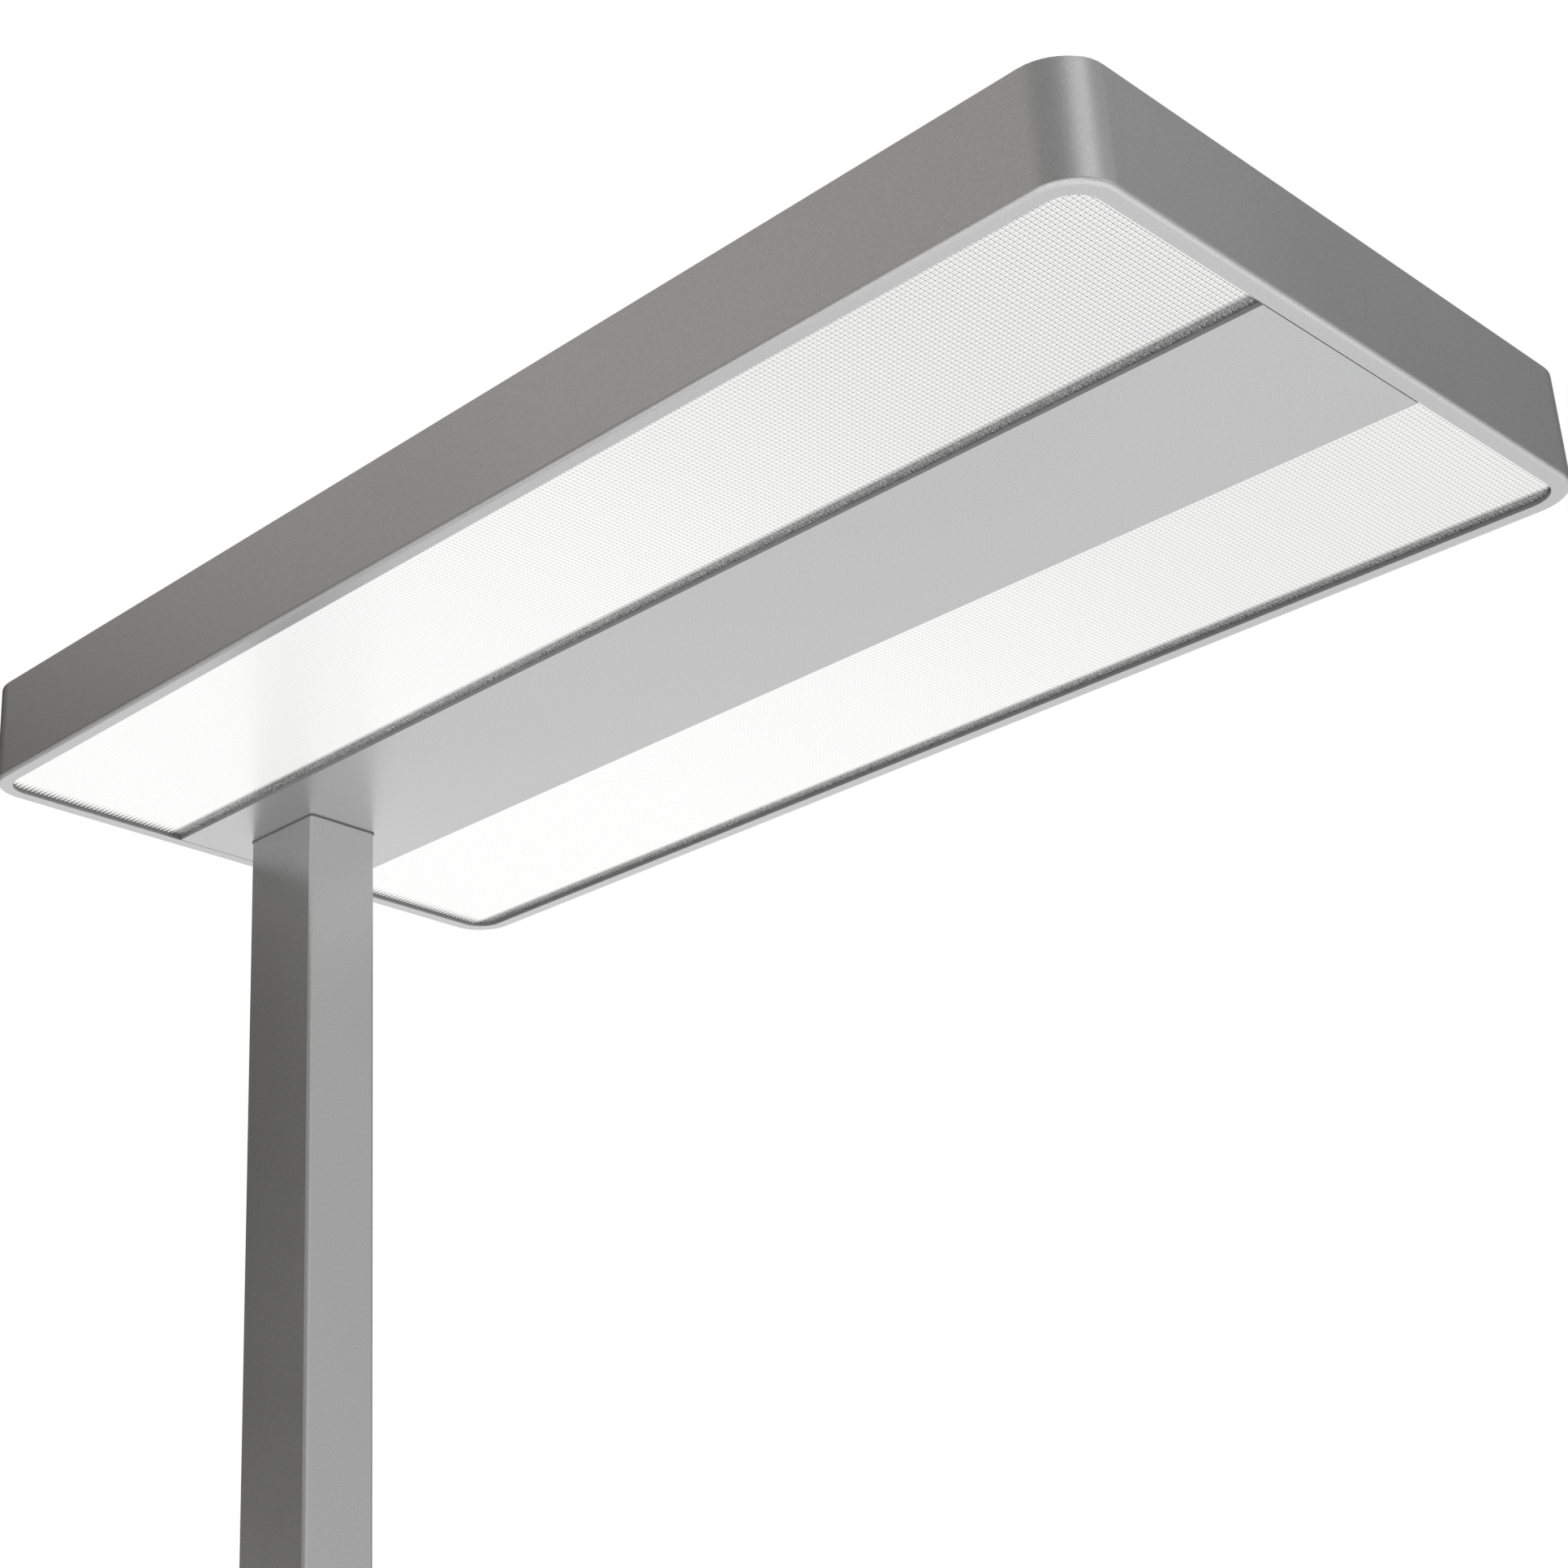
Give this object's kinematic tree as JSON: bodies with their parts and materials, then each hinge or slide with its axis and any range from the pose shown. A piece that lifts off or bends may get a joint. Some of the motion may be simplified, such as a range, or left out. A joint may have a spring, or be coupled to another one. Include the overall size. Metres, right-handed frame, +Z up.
{
  "type": "office floor lamp",
  "caption": "Tall floor lamp with a slim rectangular light head held near one end by a square-edged side post, prismatic downlights, uplights and a flat foot.",
  "frame": {"origin": "on the floor, below the middle of the head", "axes": "+Z up; +X along the head, from the post towards the free end; +Y across the head"},
  "size_m": [0.65, 0.326, 1.95],
  "materials": {
    "grey_aluminium": "fine powder coat, light grey",
    "grey_steel": "fine powder coat, light grey",
    "clear_plastic": "clear, micro-prismatic underside",
    "window_plastic": "clear",
    "opal_plastic": "opal",
    "white_sheet": "white paint",
    "board_white": "white solder mask",
    "diode_yellow": "phosphor",
    "zinc_steel": "zinc plated",
    "cast_grey": "as cast, machined",
    "dark_bolt": "blackened",
    "driver_white": "moulded",
    "terminal_green": "moulded",
    "board_green": "solder mask",
    "black_rubber": "matt",
    "black_plastic": "fine grain",
    "dark_plastic": "fine grain",
    "button_grey": "satin",
    "contact_metal": "bright",
    "lead_black": "cable sheath",
    "lead_white": "cable sheath",
    "lead_red": "wire insulation"
  },
  "bodies": {
    "lamp": {"head_frame": "grey_aluminium", "centre_panel": "grey_aluminium", "lens_near": "clear_plastic", "lens_far": "clear_plastic", "diffuser_near": "opal_plastic", "diffuser_far": "opal_plastic", "reflector_near": "white_sheet", "reflector_far": "white_sheet", "led_board_near": "board_white", "led_board_far": "board_white", "downlight_leds": "diode_yellow", "uplight_board_near": "board_white", "uplight_board_far": "board_white", "uplight_leds": "diode_yellow", "spine": "zinc_steel", "top_cover": "grey_aluminium", "uplight_window_near": "window_plastic", "uplight_window_far": "window_plastic", "driver_downlight": "driver_white", "driver_uplight": "driver_white", "driver_screws": "zinc_steel", "terminal_block": "terminal_green", "head_bracket": "cast_grey", "bracket_bolts": "dark_bolt", "bracket_screws": "zinc_steel", "spine_screws": "zinc_steel", "panel_screws": "zinc_steel", "tray_screws": "zinc_steel", "cover_screws": "zinc_steel", "supply_leads": "lead_black", "led_leads": "lead_red", "post_gasket": "black_rubber", "post": "grey_aluminium", "foot_gasket": "black_rubber", "control_bezel": "dark_plastic", "push_switches": "black_plastic", "control_board": "board_green", "control_lead": "lead_white", "mains_inlet": "black_plastic", "inlet_pins": "contact_metal", "mains_lead": "lead_black", "base_plate": "grey_steel", "base_bolts": "dark_bolt", "base_pads": "black_rubber"},
    "power_button": {"power_button": "button_grey"},
    "brighter_button": {"brighter_button": "button_grey"},
    "dimmer_button": {"dimmer_button": "button_grey"}
  },
  "joints": [
    {"name": "power_press", "type": "slide", "parent": "lamp", "child": "power_button", "axis": [-1, 0, 0], "range_m": [0, 0.001], "stiffness_N_per_m": 800, "springref_m": -0.0005},
    {"name": "brighter_press", "type": "slide", "parent": "lamp", "child": "brighter_button", "axis": [-1, 0, 0], "range_m": [0, 0.001], "stiffness_N_per_m": 800, "springref_m": -0.0005},
    {"name": "dimmer_press", "type": "slide", "parent": "lamp", "child": "dimmer_button", "axis": [-1, 0, 0], "range_m": [0, 0.001], "stiffness_N_per_m": 800, "springref_m": -0.0005}
  ]
}
